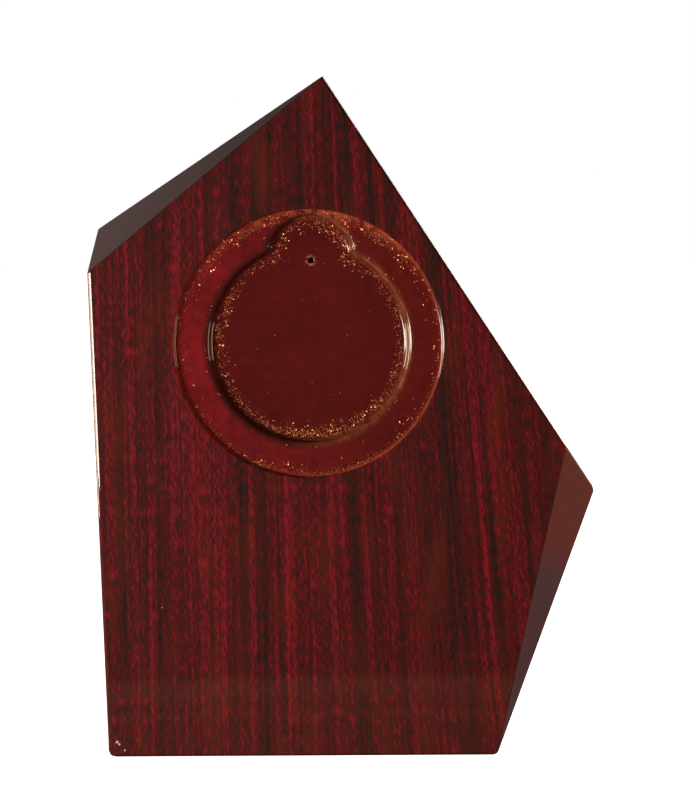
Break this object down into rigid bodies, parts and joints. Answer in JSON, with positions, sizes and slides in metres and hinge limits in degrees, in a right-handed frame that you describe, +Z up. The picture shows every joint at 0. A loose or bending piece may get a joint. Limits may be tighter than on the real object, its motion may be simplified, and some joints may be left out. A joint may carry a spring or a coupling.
{
  "type": "award plaque",
  "caption": "Free-standing five-sided wooden award plaque with a sloping bevel on two sides and a stepped round recess for a medal with its loop.",
  "frame": {"origin": "middle of the base, on the surface that the plaque stands on", "axes": "+Z up along the plaque's height, -Y out of the front face with the recess, +X to the right when looking at the front"},
  "size_m": [0.1332, 0.025, 0.1779],
  "materials": {
    "painted_recess": "dark red gloss paint with gold flecks, over fibreboard",
    "rosewood_face": "clear high gloss over streaked red rosewood",
    "rosewood_edge": "clear high gloss over rosewood",
    "rosewood_bevel": "clear high gloss over plain brown rosewood"
  },
  "bodies": {
    "root": {"core_board": "painted_recess", "front_veneer": "rosewood_face", "back_veneer": "rosewood_face", "left_edge_veneer": "rosewood_edge", "base_edge_veneer": "rosewood_edge", "upper_left_edge_veneer": "rosewood_edge", "upper_right_edge_veneer": "rosewood_edge", "lower_right_edge_veneer": "rosewood_edge", "upper_left_bevel_veneer": "rosewood_bevel", "lower_right_bevel_veneer": "rosewood_bevel"}
  },
  "joints": []
}
